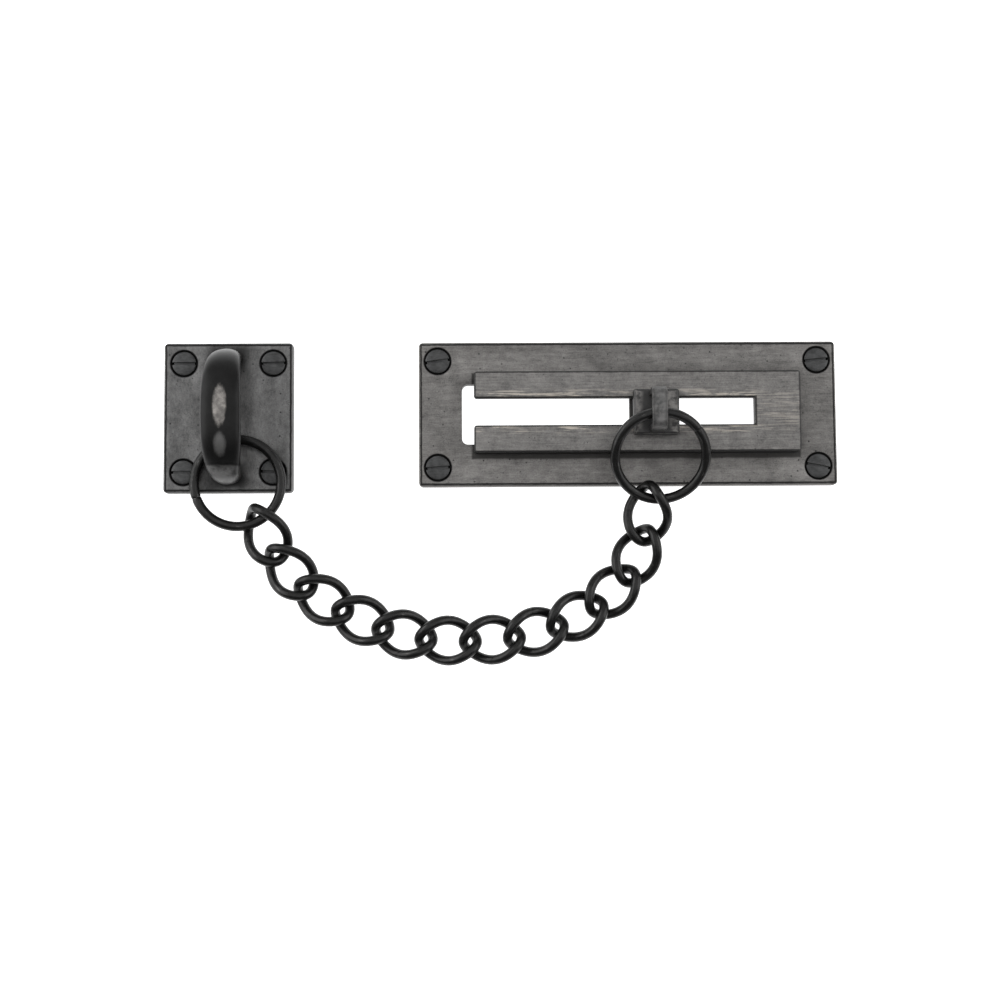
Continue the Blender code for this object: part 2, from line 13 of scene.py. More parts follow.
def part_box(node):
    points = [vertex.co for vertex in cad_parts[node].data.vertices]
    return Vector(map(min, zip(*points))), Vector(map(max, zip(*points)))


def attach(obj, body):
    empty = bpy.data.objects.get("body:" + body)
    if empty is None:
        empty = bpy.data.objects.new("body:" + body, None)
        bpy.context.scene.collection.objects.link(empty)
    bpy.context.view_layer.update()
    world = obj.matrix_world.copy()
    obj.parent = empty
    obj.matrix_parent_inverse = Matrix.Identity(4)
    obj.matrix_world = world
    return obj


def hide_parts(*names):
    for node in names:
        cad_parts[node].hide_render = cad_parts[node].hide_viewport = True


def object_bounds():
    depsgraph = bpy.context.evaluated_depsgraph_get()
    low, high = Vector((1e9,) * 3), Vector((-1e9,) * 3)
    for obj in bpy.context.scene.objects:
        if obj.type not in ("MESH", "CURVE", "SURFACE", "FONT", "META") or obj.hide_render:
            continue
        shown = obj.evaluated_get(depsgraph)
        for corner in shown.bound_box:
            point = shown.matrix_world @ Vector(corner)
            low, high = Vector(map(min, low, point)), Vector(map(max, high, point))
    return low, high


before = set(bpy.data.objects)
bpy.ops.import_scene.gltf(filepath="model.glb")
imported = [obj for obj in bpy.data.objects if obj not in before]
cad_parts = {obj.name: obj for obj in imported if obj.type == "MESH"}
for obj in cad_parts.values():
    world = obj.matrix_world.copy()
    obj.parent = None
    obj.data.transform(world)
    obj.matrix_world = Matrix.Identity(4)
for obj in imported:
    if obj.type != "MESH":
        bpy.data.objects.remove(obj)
CAD_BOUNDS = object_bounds()

MM = 0.001
LINKS = [name for name in sorted(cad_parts) if name.startswith("link_")]

# ---- Sizes the looks need, in metres ------------------------------------------------------------

WIRE_RADIUS = 1.5 * MM
WIRE_STATIONS = 96
WIRE_SIDES = 20
WIRE_UNEVENNESS = 0.005
RING_BUTT = 0.10 * MM
LINK_BUTT = 0.0
LINK_TWIST = math.radians(46.0)
PLATE_CORNER = 1.3 * MM
PLATE_EDGE = 0.6 * MM
SCREW_SHANK = 2.1 * MM
SCREW_RIM = 0.45 * MM
SCREW_DOME = 0.25 * MM
SCREW_SEAT = 0.25 * MM
SCREW_GAP = 0.32 * MM
# Inner and outer radius of the painted shade ring round each screw head.
SCREW_SHADE_RING = (4.15 * MM, 4.5 * MM)
SCREW_SLOT_WIDTH = 0.85 * MM
SCREW_SLOT_DEPTH = 0.9 * MM
HOUSING_CORNER = 0.9 * MM
HOUSING_EDGE = 0.45 * MM
SLOT_CORNER = 0.6 * MM
RAIL_THICKNESS = 2.6 * MM
SLOT_WIDTH = 8.2 * MM
SLOT_END = 13.9 * MM
CHANNEL_WIDTH = 18.6 * MM
CHANNEL_OVERRUN = 4.5 * MM
CUTOUT_LEAD = 3.7 * MM
CUTOUT_CORNER = 1.8 * MM
BOW_CLEARANCE = 0.3 * MM
BOW_SQUARENESS = 2.5
BOW_STATIONS = 96
BOW_SIDES = 48
BOW_CREASE = 5.2 * MM
BOW_FOOT_WIDTH = 8.2 * MM
BOW_FOOT_DEPTH = 5.6 * MM
BOW_FOOT_EDGE = 0.2 * MM
BOW_FRONT_DEPTH = 5.0 * MM
BOW_FULLNESS = 0.28
BOW_UNEVENNESS = 0.004
BOW_TENON = 2.3 * MM
BLOCK_THICKNESS = 3.6 * MM
BLOCK_EDGE = 0.9 * MM
EYE_WIDTH = 4.6 * MM
EYE_THICKNESS = 2.1 * MM
EYE_SPAN = 13.0 * MM
EYE_BEND = 3.2 * MM
NECK = 6.6 * MM
RIVET = 2.0 * MM
RIVET_PLAY = 0.3 * MM
SLIDER_PLAY = 0.3 * MM
OVERCUT = 1.0 * MM

SLOT_TURNS = {
    "jamb_screw_1": 0.0, "jamb_screw_2": 2.0, "jamb_screw_3": 0.0, "jamb_screw_4": -3.0,
    "door_screw_1": 8.0, "door_screw_2": 5.0, "door_screw_3": 4.0, "door_screw_4": -12.0,
}


# ---- Light, camera and tones ------------------------------------------------------------------------

# Where the bow's front is polished through, along Y: the ring's own rub and a fainter one below it.
WORN_CENTRE = 1.3 * MM
WORN_SECOND = -10.1 * MM

# How pale each iron is, and the way its brushing runs: a small share is the long direction.
JAMB_IRON_TONE = 0.130
DOOR_IRON_TONE = 0.156
RAIL_IRON_TONE = 0.158
JAMB_BRUSHING = (0.5, 0.18, 1.0)
DOOR_BRUSHING = (0.12, 1.0, 1.0)

TABLE_GLOW = 1.0
SKY = 0.2
SOFTBOXES = (
    ("top_softbox", (0.05, 0.10, 0.90), (1.2, 1.0), 4.0),
    ("left_softbox", (-0.55, 0.15, 0.30), (0.7, 0.5), 3.4),
    ("right_softbox", (0.60, 0.10, 0.35), (0.7, 0.5), 2.6),
    ("far_softbox", (0.0, 0.60, 0.35), (0.9, 0.4), 0.8),
)
CAMERA_PLACE = (0.0744, -0.0670, 0.500)
CAMERA_TURN = (4.77, -0.92, -0.40)
CAMERA_LENS = 58.87


# ---- Shader maths -----------------------------------------------------------------------------------

class Value:
    """A number, colour or vector in a finish, which adds and multiplies like a plain number."""

    def __init__(self, finish, socket):
        self.finish = finish
        self.socket = socket

    def maths(self, operation, *inputs, clamp=False):
        """A Math node on these inputs."""
        settings = {"operation": operation, "use_clamp": clamp}
        return self.finish.node("Math", settings, dict(enumerate(inputs)))

    def __add__(self, other):
        return self.maths("ADD", self, other)

    def __radd__(self, other):
        return self.maths("ADD", other, self)

    def __sub__(self, other):
        return self.maths("SUBTRACT", self, other)

    def __rsub__(self, other):
        return self.maths("SUBTRACT", other, self)

    def __mul__(self, other):
        return self.maths("MULTIPLY", self, other)

    def __rmul__(self, other):
        return self.maths("MULTIPLY", other, self)

    def __truediv__(self, other):
        return self.maths("DIVIDE", self, other)

    def __pow__(self, other):
        return self.maths("POWER", self, other)

    def __abs__(self):
        return self.maths("ABSOLUTE", self)

    def smaller(self, other):
        """The smaller of two values."""
        return self.maths("MINIMUM", self, other)

    def larger(self, other):
        """The larger of two values."""
        return self.maths("MAXIMUM", self, other)

    def rise(self, start, end):
        """A smooth step, from 0 at start to 1 at end."""
        settings = {"interpolation_type": "SMOOTHSTEP"}
        return self.finish.node("MapRange", settings, {"Value": self, "From Min": start, "From Max": end})


class Finish:
    """A Principled material, and the nodes that feed it."""

    def __init__(self, name, metallic, **sockets):
        self.material = bpy.data.materials.new(name)
        self.material.use_nodes = True
        self.tree = self.material.node_tree
        self.shader = self.tree.nodes["Principled BSDF"]
        self.shader.inputs["Metallic"].default_value = metallic
        for socket, value in sockets.items():
            self.shader.inputs[socket.replace("_", " ")].default_value = value

    def node(self, kind, settings, inputs, output=0):
        """A node: its settings first, then the values or links of its sockets."""
        made = self.tree.nodes.new("ShaderNode" + kind)
        for name, setting in settings.items():
            setattr(made, name, setting)
        for name, value in inputs.items():
            if isinstance(value, Value):
                self.tree.links.new(value.socket, made.inputs[name])
            else:
                made.inputs[name].default_value = value
        return Value(self, made.outputs[output])

    def feed(self, socket, value):
        """A value into one of the shader's own sockets."""
        self.tree.links.new(value.socket, self.shader.inputs[socket])

    def place(self):
        """The point on the piece, in the guard's own metres."""
        return self.node("TexCoord", {}, {}, "Object")

    def along_wire(self):
        """Metres along a wire and round it."""
        return self.node("UVMap", {"uv_map": "wire"}, {})

    def parts_of(self, vector):
        """The three numbers of a vector."""
        split = self.node("SeparateXYZ", {}, {0: vector})
        outputs = split.socket.node.outputs
        return [Value(self, outputs[index]) for index in range(3)]

    def stretched(self, vector, stretch):
        """A vector scaled by a different amount each way."""
        return self.node("VectorMath", {"operation": "MULTIPLY"}, {0: vector, 1: stretch})

    def noise(self, vector, grain, detail=3.0, roughness=0.55):
        """Noise about grain metres across, from 0 to 1."""
        return self.node("TexNoise", {}, {
            "Vector": vector, "Scale": 1.0 / grain, "Detail": detail, "Roughness": roughness})

    def cells(self, vector, grain):
        """The distance to the nearest of scattered points, in grains."""
        return self.node("TexVoronoi", {}, {"Vector": vector, "Scale": 1.0 / grain})

    def mix(self, low, high, share):
        """A colour between two, by a share from 0 to 1."""
        return self.node("Mix", {"data_type": "RGBA"}, {0: share, 6: low, 7: high}, 2)

    def surfaced(self, colour, roughness, height, depth, strength):
        """The finished material, with its relief turned from a height."""
        self.feed("Base Color", colour)
        self.feed("Roughness", roughness)
        relief = {"Height": height, "Distance": depth, "Strength": strength}
        self.feed("Normal", self.node("Bump", {}, relief))
        return self.material


# ---- Finishes ---------------------------------------------------------------------------------------

def grey(level, warmth=0.0):
    """A near-grey colour, a little warm or cold."""
    return (level * (1 + warmth), level, level * (1 - warmth), 1.0)


def outside(x, y, low, high):
    """How far a point lies outside a rectangle, and less than nothing within it."""
    return (abs(x - (low.x + high.x) / 2) - (high.x - low.x) / 2).larger(
        abs(y - (low.y + high.y) / 2) - (high.y - low.y) / 2)


def brushed_iron(name, low, high, level, warmth, brushing, screws, cast_shades):
    """Antique plate iron: brushed and pitted, with a dark line inside its paler edges, which are part rubbed
    wear and part painted light, painted shade round each screw, and painted cast shade round what stands on
    it. A cast shade is a low and high corner, a spread and a strength."""
    finish = Finish(name, 0.9, Specular_IOR_Level=0.4)
    place = finish.place()
    x, y, z = finish.parts_of(place)
    inset = 0 - outside(x, y, low, high)
    wander = finish.noise(place, 1.6 * MM) - 0.5
    edge = inset + wander * (0.35 * MM)
    line = edge.rise(0.35 * MM, 0.6 * MM) * (1 - edge.rise(0.85 * MM, 1.15 * MM))
    rub_and_highlight = 1 - edge.rise(0.25 * MM, 0.5 * MM)
    # Painted shade: the dark ring in the gap round each screw head.
    for screw in screws:
        distance = finish.node("VectorMath", {"operation": "DISTANCE"}, {
            0: finish.stretched(place, (1.0, 1.0, 0.0)), 1: (screw.x, screw.y, 0.0)}, 1)
        line = line.larger(1 - distance.rise(*SCREW_SHADE_RING))
    mottle = finish.noise(place, 9.0 * MM, 4.0)
    cloud = finish.noise(place, 2.4 * MM, 5.0, 0.65)
    brushed = finish.noise(finish.stretched(place, brushing), 0.22 * MM, 3.0, 0.7)
    long_brushing = [0.5 * share for share in brushing]
    streaks = finish.noise(finish.stretched(place, long_brushing), 0.45 * MM, 3.0, 0.65)
    pits = 1 - finish.cells(place, 2.1 * MM).rise(0.07, 0.19)
    keep = finish.noise(place, 3.3 * MM, 2.0).rise(0.47, 0.58)
    pits = pits * keep
    specks = 1 - finish.cells(finish.stretched(place, (1.0, 1.4, 1.0)), 0.75 * MM).rise(0.12, 0.34)
    specks = specks * finish.noise(place, 1.7 * MM, 2.0).rise(0.44, 0.6)
    grain = finish.noise(place, 0.45 * MM, 3.0, 0.7)
    tone = mottle * 0.8 + cloud + brushed + streaks + grain - 1.9
    colour = finish.mix(grey(level * 0.55, warmth), grey(level * 1.5, warmth), tone)
    colour = finish.mix(colour, grey(level * 0.16), pits * 0.85)
    colour = finish.mix(colour, grey(level * 0.35), specks * 0.6)
    # Painted cast shade: darker colour round what stands on the plate, where its shadow falls.
    for cast_shade_low, cast_shade_high, spread, strength in cast_shades:
        beside = outside(x, y, cast_shade_low, cast_shade_high)
        cast_shade = 1 - (beside + (mottle - 0.5) * spread).rise(-0.1 * spread, spread)
        colour = finish.mix(colour, grey(level * 0.18, warmth), cast_shade * strength)
    # Painted shade: the plate's side walls are darker, as they face away from the light.
    shaded_wall = 1 - z.rise(high.z - 1.1 * MM, high.z - 0.6 * MM)
    colour = finish.mix(colour, grey(level * 0.5, warmth), shaded_wall * 0.8)
    colour = finish.mix(colour, grey(level * 0.10), line * 0.92)
    # The paler outer band: part rubbed wear, part painted light on the edge bevel and side face.
    colour = finish.mix(colour, grey(level * 1.1, warmth), rub_and_highlight * 0.5 * (1 - line))
    roughness = 0.42 + brushed * 0.16 + cloud * 0.1 + line * 0.2
    height = brushed * 0.35 + cloud * 0.6 + mottle * 0.5 - pits * 1.6 - specks * 0.5 - line * 0.9
    return finish.surfaced(colour, roughness, height, 0.05 * MM, 0.55)


def worn_rail(name, low, high, slot_low, slot_high, level):
    """The raised track's iron: brushed, with pale scratches along its slot, paler outer edges that are part
    rubbed wear and part painted highlight, dark edges, and painted shade on its walls.
    """
    finish = Finish(name, 0.9, Specular_IOR_Level=0.4)
    place = finish.place()
    x, y, z = finish.parts_of(place)
    top = z.rise(high.z - 0.9 * MM, high.z - 0.1 * MM)
    to_slot = (y - slot_high).larger(slot_low - y)
    outer = (high.y - y).smaller(y - low.y).smaller(high.x - x)
    mottle = finish.noise(place, 8.0 * MM, 4.0)
    cloud = finish.noise(place, 1.9 * MM, 5.0, 0.65)
    brushed = finish.noise(finish.stretched(place, (0.06, 1.0, 1.0)), 0.24 * MM, 3.0, 0.7)
    scratch = finish.noise(finish.stretched(place, (0.05, 1.0, 1.0)), 0.5 * MM, 2.0, 0.6)
    patch = finish.noise(finish.stretched(place, (0.35, 1.0, 1.0)), 3.2 * MM, 4.0, 0.7)
    near = 1 - to_slot.rise(0.3 * MM, 3.4 * MM)
    to_end = x - (high.x - SLOT_END)
    land = 1 - to_end.rise(-1.0 * MM, 1.0 * MM) * 0.75
    worn = near * patch.rise(0.40, 0.56) * scratch.rise(0.46, 0.60) * top * land
    # Paler outer edges: part rubbed wear, part painted highlight along the track's rims.
    rubbed_edge_and_highlight = (1 - outer.rise(0.2 * MM, 1.0 * MM)) * patch.rise(0.46, 0.62) * top
    pits = 1 - finish.cells(place, 1.6 * MM).rise(0.07, 0.18)
    pits = pits * finish.noise(place, 2.9 * MM, 2.0).rise(0.52, 0.62)
    grain = finish.noise(place, 0.45 * MM, 3.0, 0.7)
    tone = mottle * 0.8 + cloud + brushed + scratch * 0.9 + grain - 1.87
    colour = finish.mix(grey(level * 0.55, 0.025), grey(level * 1.5, 0.035), tone)
    colour = finish.mix(colour, grey(level * 0.25), pits * 0.8)
    colour = finish.mix(colour, (0.62, 0.56, 0.48, 1.0), worn * 0.75)
    colour = finish.mix(colour, grey(level * 1.7, 0.04), rubbed_edge_and_highlight * 0.35)
    # Painted shade: the track's side walls are much darker, as they face away from the light.
    shaded_wall = 1 - z.rise(high.z - 1.0 * MM, high.z - 0.45 * MM)
    colour = finish.mix(colour, grey(level * 0.16), shaded_wall * 0.9)
    rim = outer.smaller(to_slot.larger(to_end)).smaller(x - low.x)
    rim = rim + (cloud - 0.5) * (0.3 * MM)
    colour = finish.mix(colour, grey(level * 0.15), (1 - rim.rise(0.35 * MM, 0.7 * MM)) * 0.9)
    roughness = 0.42 + brushed * 0.15 + cloud * 0.1 - worn * 0.08
    height = brushed * 0.4 + cloud * 0.6 + mottle * 0.4 - pits * 1.5 - worn * 0.4
    return finish.surfaced(colour, roughness, height, 0.05 * MM, 0.55)


def forged_bow(name, low, high):
    """The bow's near-black forged iron: two polished patches in front, and a paler foot under a crease with
    painted shade in it.
    """
    finish = Finish(name, 0.85, Specular_IOR_Level=0.3)
    place = finish.place()
    x, y, z = finish.parts_of(place)
    front = z.rise(high.z - 2.2 * MM, high.z - 0.4 * MM)
    middle = (low + high) / 2
    ragged = finish.noise(finish.stretched(place, (1.0, 0.4, 1.0)), 0.9 * MM, 5.0, 0.75) - 0.5
    across = abs(x - middle.x) / (2.1 * MM)
    up = abs(y - WORN_CENTRE) / (6.2 * MM)
    patch = 1 - (across ** 2 + up ** 2 + ragged * 0.9).rise(0.45, 1.25)
    second = 1 - ((across ** 2) * 1.3 + (abs(y - WORN_SECOND) / (3.4 * MM)) ** 2 + ragged).rise(0.0, 1.5)
    worn = patch * front
    faint = second * z.rise(high.z - 5.0 * MM, high.z - 2.5 * MM)
    cloud = finish.noise(place, 3.0 * MM, 4.0, 0.6)
    grain = finish.noise(place, 0.35 * MM, 4.0, 0.7)
    colour = finish.mix(grey(0.008), grey(0.020), cloud * 0.7 + grain * 0.3)
    foot = 1 - y.rise(low.y + 4.0 * MM, low.y + 5.4 * MM)
    colour = finish.mix(colour, grey(0.085, 0.01), foot * cloud.rise(0.2, 0.6) * 0.9)
    # Painted shade in the crease between the bow and its foot.
    crease_shade = 1 - abs(y - low.y - BOW_CREASE + (cloud - 0.5) * (1.4 * MM)).rise(0.1 * MM, 0.55 * MM)
    colour = finish.mix(colour, grey(0.006), crease_shade * 0.8)
    colour = finish.mix(colour, grey(0.20, 0.01), faint * 0.7)
    bright = finish.mix(grey(0.13, 0.05), grey(0.34, 0.06), cloud.rise(0.35, 0.7))
    colour = finish.mix(colour, bright, worn * 0.9)
    roughness = 0.33 + grain * 0.14 + worn * 0.08
    height = cloud * 0.8 + grain * 0.35 - worn * 0.4
    return finish.surfaced(colour, roughness, height, 0.06 * MM, 0.5)


def slider_iron(name, middle, top):
    """The slider's dark iron, paler down the middle of its eye's front face and rubbed paler on its corners.
    """
    finish = Finish(name, 0.88, Specular_IOR_Level=0.45)
    place = finish.place()
    x, _, z = finish.parts_of(place)
    cloud = finish.noise(place, 2.6 * MM, 5.0, 0.65)
    grain = finish.noise(place, 0.3 * MM, 4.0, 0.7)
    rub_and_highlight = finish.node("NewGeometry", {}, {}, "Pointiness").rise(0.51, 0.58)
    colour = finish.mix(grey(0.026), grey(0.070, 0.01), cloud * 0.75 + grain * 0.3)
    # Paler down the middle of the eye's front face, towards its top.
    across = abs(x - middle) / (EYE_WIDTH / 2)
    face = z.rise(top - 2.2 * MM, top - 0.4 * MM) * (1 - across.rise(0.45, 0.95))
    colour = finish.mix(colour, grey(0.16, 0.01), face * cloud.rise(0.25, 0.65) * 0.8)
    colour = finish.mix(colour, grey(0.24, 0.04), rub_and_highlight * cloud.rise(0.35, 0.6) * 0.6)
    return finish.surfaced(colour, 0.4 + grain * 0.16, cloud * 0.7 + grain * 0.4, 0.05 * MM, 0.5)


def black_wire(name):
    """Waxed near-black wire, with streaks along it and painted highlights along them here and there."""
    finish = Finish(name, 0.85, Specular_IOR_Level=0.35)
    place = finish.place()
    along = finish.along_wire()
    streak = finish.noise(finish.stretched(along, (0.10, 1.0, 1.0)), 0.5 * MM, 3.0, 0.6)
    cloud = finish.noise(place, 2.2 * MM, 4.0, 0.6)
    grain = finish.noise(place, 0.28 * MM, 4.0, 0.7)
    colour = finish.mix(grey(0.009), grey(0.036, 0.01), cloud * 0.45 + streak * 0.45 + grain * 0.2)
    # Painted highlight: pale streaks along the wire where a light would glint.
    rub_and_highlight = streak.rise(0.56, 0.74) * cloud.rise(0.42, 0.62)
    colour = finish.mix(colour, grey(0.13, 0.02), rub_and_highlight * 0.65)
    roughness = 0.17 + grain * 0.14 + streak * 0.1
    height = streak * 0.6 + grain * 0.4 + cloud * 0.7
    return finish.surfaced(colour, roughness, height, 0.05 * MM, 0.5)


def screw_steel(name):
    """Darkened steel screw heads with fine file marks."""
    finish = Finish(name, 0.9, Specular_IOR_Level=0.4)
    place = finish.place()
    cloud = finish.noise(place, 2.2 * MM, 4.0, 0.6)
    file_marks = finish.noise(finish.stretched(place, (0.12, 1.0, 1.0)), 0.2 * MM, 3.0, 0.7)
    colour = finish.mix(grey(0.022, -0.01), grey(0.105, -0.01), cloud + file_marks - 0.55)
    return finish.surfaced(colour, 0.38 + file_marks * 0.2, file_marks * 0.6 + cloud * 0.5, 0.04 * MM, 0.5)


# ---- Mesh work --------------------------------------------------------------------------------------

def object_of(name, mesh):
    """An object for a mesh, in the scene."""
    item = bpy.data.objects.new(name, mesh)
    bpy.context.scene.collection.objects.link(item)
    return item


def settle(item):
    """The piece as its modifiers leave it, as plain mesh."""
    bpy.context.view_layer.update()
    evaluated = item.evaluated_get(bpy.context.evaluated_depsgraph_get())
    mesh = bpy.data.meshes.new_from_object(evaluated)
    old = item.data
    item.modifiers.clear()
    item.data = mesh
    bpy.data.meshes.remove(old)
    return item


def arc(centre, radius, start, end, steps):
    """Points of an arc in degrees, both ends included."""
    points = []
    for step in range(steps + 1):
        angle = math.radians(start + (end - start) * step / steps)
        points.append((centre[0] + radius * math.cos(angle), centre[1] + radius * math.sin(angle)))
    return points


def rounded_rectangle(low_x, high_x, low_y, high_y, radius, steps=8):
    """The outline of a rectangle with round corners."""
    points = arc((high_x - radius, high_y - radius), radius, 0, 90, steps)
    points += arc((low_x + radius, high_y - radius), radius, 90, 180, steps)
    points += arc((low_x + radius, low_y + radius), radius, 180, 270, steps)
    points += arc((high_x - radius, low_y + radius), radius, 270, 360, steps)
    return points


def slab(outline, bottom, top):
    """A flat outline in X and Y, filled between two heights."""
    form = bmesh.new()
    face = form.faces.new([form.verts.new((x, y, bottom)) for x, y in outline])
    raised = bmesh.ops.extrude_face_region(form, geom=[face])
    lifted = [part for part in raised["geom"] if isinstance(part, bmesh.types.BMVert)]
    bmesh.ops.translate(form, verts=lifted, vec=(0.0, 0.0, top - bottom))
    bmesh.ops.recalc_face_normals(form, faces=form.faces)
    mesh = bpy.data.meshes.new("slab")
    form.to_mesh(mesh)
    form.free()
    return mesh


def cuboid(low, high):
    """A box between two corners."""
    return slab([(low[0], low[1]), (high[0], low[1]), (high[0], high[1]), (low[0], high[1])], low[2], high[2])


def turned(profile, centre=(0.0, 0.0), steps=64):
    """A solid of revolution about an upright axis; the profile runs from top to bottom."""
    form = bmesh.new()
    rings = []
    for radius, height in profile:
        ring = []
        for step in range(steps):
            angle = 2 * math.pi * step / steps
            x = centre[0] + radius * math.cos(angle)
            y = centre[1] + radius * math.sin(angle)
            ring.append(form.verts.new((x, y, height)))
        rings.append(ring)
    skin(form, rings)
    mesh = bpy.data.meshes.new("turned")
    form.to_mesh(mesh)
    form.free()
    return mesh


def skin(form, rings):
    """Faces between rings of vertices, and a cap at each end."""
    count = len(rings[0])
    for first, second in zip(rings, rings[1:]):
        for index in range(count):
            after = (index + 1) % count
            form.faces.new((first[index], first[after], second[after], second[index]))
    form.faces.new(list(reversed(rings[0])))
    form.faces.new(rings[-1])
    bmesh.ops.recalc_face_normals(form, faces=form.faces)


def loft(sections, name):
    """A solid skinned over rings of points."""
    form = bmesh.new()
    skin(form, [[form.verts.new(point) for point in section] for section in sections])
    mesh = bpy.data.meshes.new(name)
    form.to_mesh(mesh)
    form.free()
    return mesh


def boolean(item, mesh, operation):
    """Cut a mesh out of a piece or join it on."""
    tool = object_of("tool", mesh)
    modifier = item.modifiers.new(operation, "BOOLEAN")
    modifier.operation = operation
    modifier.solver = "EXACT"
    modifier.object = tool
    settle(item)
    bpy.data.objects.remove(tool)
    bpy.data.meshes.remove(mesh)


def soften(item, width, segments=3, degrees=38):
    """Rounded edges and smooth shading."""
    modifier = item.modifiers.new("edges", "BEVEL")
    modifier.width = width
    modifier.segments = segments
    modifier.limit_method = "ANGLE"
    modifier.angle_limit = math.radians(degrees)
    modifier.harden_normals = False
    settle(item)
    item.data.shade_smooth()
    item.data.set_sharp_from_angle(angle=math.radians(degrees))


def finished(item, body, nodes, material):
    """A finished piece: it rides its body and stands for its CAD nodes."""
    item.data.materials.clear()
    item.data.materials.append(material)
    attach(item, body)
    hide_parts(*nodes)
    return item


# ---- The plates and their screws -------------------------------------------------------------------

def screw_centres(prefix):
    """The middle of each screw of a plate, from the screws' own boxes."""
    centres = []
    for number in range(1, 5):
        low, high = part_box(f"{prefix}_{number}")
        centres.append(((low + high) / 2).xy)
    return centres


def countersinks(plate, prefix, front):
    """The screws' countersunk holes, a hair wider than the screws."""
    low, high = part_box(f"{prefix}_1")
    head = (high.x - low.x) / 2 + SCREW_SEAT
    shank = SCREW_SHANK + SCREW_SEAT
    rim = front - SCREW_RIM
    for centre in screw_centres(prefix):
        boolean(plate, turned([
            (head, front + OVERCUT), (head, rim), (shank, rim - (head - shank)), (shank, -OVERCUT),
        ], centre), "DIFFERENCE")


def jamb_plate(material):
    """The square plate, with the holes for the bow's tenons."""
    low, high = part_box("jamb_plate")
    plate = object_of("jamb_back_plate", slab(
        rounded_rectangle(low.x, high.x, low.y, high.y, PLATE_CORNER), low.z, high.z))
    bow_low, bow_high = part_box("staple_bow")
    leg = (bow_high.y - bow_low.y - BOW_FOOT_DEPTH) / 2
    middle = (bow_high + bow_low) / 2
    soften(plate, PLATE_EDGE)
    for side in (-1, 1):
        hole = [(BOW_TENON + SCREW_SEAT, high.z + OVERCUT), (BOW_TENON + SCREW_SEAT, -OVERCUT)]
        boolean(plate, turned(hole, (middle.x, middle.y + side * leg), 48), "DIFFERENCE")
    countersinks(plate, "jamb_screw", high.z)
    soften(plate, 0.1 * MM, 2, 60)
    return finished(plate, "jamb_side", ["jamb_plate"], material)


def slot_box():
    """The slot's low and high corners, from the housing's box."""
    low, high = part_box("track_housing")
    middle = (low.y + high.y) / 2
    return (Vector((low.x, middle - SLOT_WIDTH / 2, low.z)),
            Vector((high.x - SLOT_END, middle + SLOT_WIDTH / 2, high.z)))


def door_plate(material):
    """The long plate, cut out behind the track."""
    low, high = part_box("door_plate")
    plate = object_of("door_back_plate", slab(
        rounded_rectangle(low.x, high.x, low.y, high.y, PLATE_CORNER), low.z, high.z))
    soften(plate, PLATE_EDGE)
    slot_low, slot_high = slot_box()
    middle = (slot_low.y + slot_high.y) / 2
    outline = rounded_rectangle(slot_low.x - CUTOUT_LEAD, slot_high.x + OVERCUT, middle - CHANNEL_WIDTH / 2,
                                middle + CHANNEL_WIDTH / 2, CUTOUT_CORNER)
    boolean(plate, slab(outline, low.z - OVERCUT, high.z + OVERCUT), "DIFFERENCE")
    countersinks(plate, "door_screw", high.z)
    soften(plate, 0.15 * MM, 2, 60)
    return finished(plate, "door_side", ["door_plate"], material)


def track_outline(low, high, slot_low, slot_high):
    """The track seen from the front: a rectangle with a slot open at its left end, every corner round."""
    corner = HOUSING_CORNER
    inside = SLOT_CORNER
    return (arc((high.x - corner, high.y - corner), corner, 0, 90, 6)
            + arc((low.x + corner, high.y - corner), corner, 90, 180, 6)
            + arc((low.x + corner, slot_high.y + corner), corner, 180, 270, 6)
            + arc((slot_high.x - inside, slot_high.y - inside), inside, 90, 0, 4)
            + arc((slot_high.x - inside, slot_low.y + inside), inside, 0, -90, 4)
            + arc((low.x + corner, slot_low.y - corner), corner, 90, 180, 6)
            + arc((low.x + corner, low.y + corner), corner, 180, 270, 6)
            + arc((high.x - corner, low.y + corner), corner, 270, 360, 6))


def track_housing(material):
    """The raised track: two rails open at the left end, and the channel behind them."""
    low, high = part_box("track_housing")
    slot_low, slot_high = slot_box()
    housing = object_of("slotted_track", slab(track_outline(low, high, slot_low, slot_high), low.z, high.z))
    soften(housing, HOUSING_EDGE, 4)
    middle = (low.y + high.y) / 2
    boolean(housing, cuboid(
        (low.x - OVERCUT, middle - CHANNEL_WIDTH / 2, low.z - OVERCUT),
        (slot_high.x + CHANNEL_OVERRUN, middle + CHANNEL_WIDTH / 2, high.z - RAIL_THICKNESS)), "DIFFERENCE")
    soften(housing, 0.22 * MM, 3, 60)
    return finished(housing, "door_side", ["track_housing"], material)


def slotted_screw(node, body, front, material):
    """One countersunk screw: a shallow dome, a sawn slot and a short run of shank."""
    low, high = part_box(node)
    centre = ((low + high) / 2).xy
    head = (high.x - low.x) / 2 - SCREW_GAP
    rim = front - SCREW_RIM
    top = high.z
    profile = []
    for step in range(7):
        share = 0.04 + 0.9 * step / 6
        profile.append((head * share, top - SCREW_DOME * 1.2 * share ** 2.5))
    profile += [(head, front - SCREW_DOME * 0.45), (head, rim), (SCREW_SHANK, rim - (head - SCREW_SHANK)),
                (SCREW_SHANK, low.z)]
    screw = object_of(node.replace("screw", "wood_screw"), turned(profile, centre))
    reach = head + OVERCUT
    turn = math.radians(SLOT_TURNS[node])
    slot = cuboid((-reach, -SCREW_SLOT_WIDTH / 2, front - SCREW_SLOT_DEPTH),
                  (reach, SCREW_SLOT_WIDTH / 2, top + OVERCUT))
    slot.transform(Matrix.Translation((centre.x, centre.y, 0.0)) @ Matrix.Rotation(turn, 4, "Z"))
    boolean(screw, slot, "DIFFERENCE")
    soften(screw, 0.08 * MM, 2, 30)
    return finished(screw, body, [node], material)


# ---- The forged bow ---------------------------------------------------------------------------------

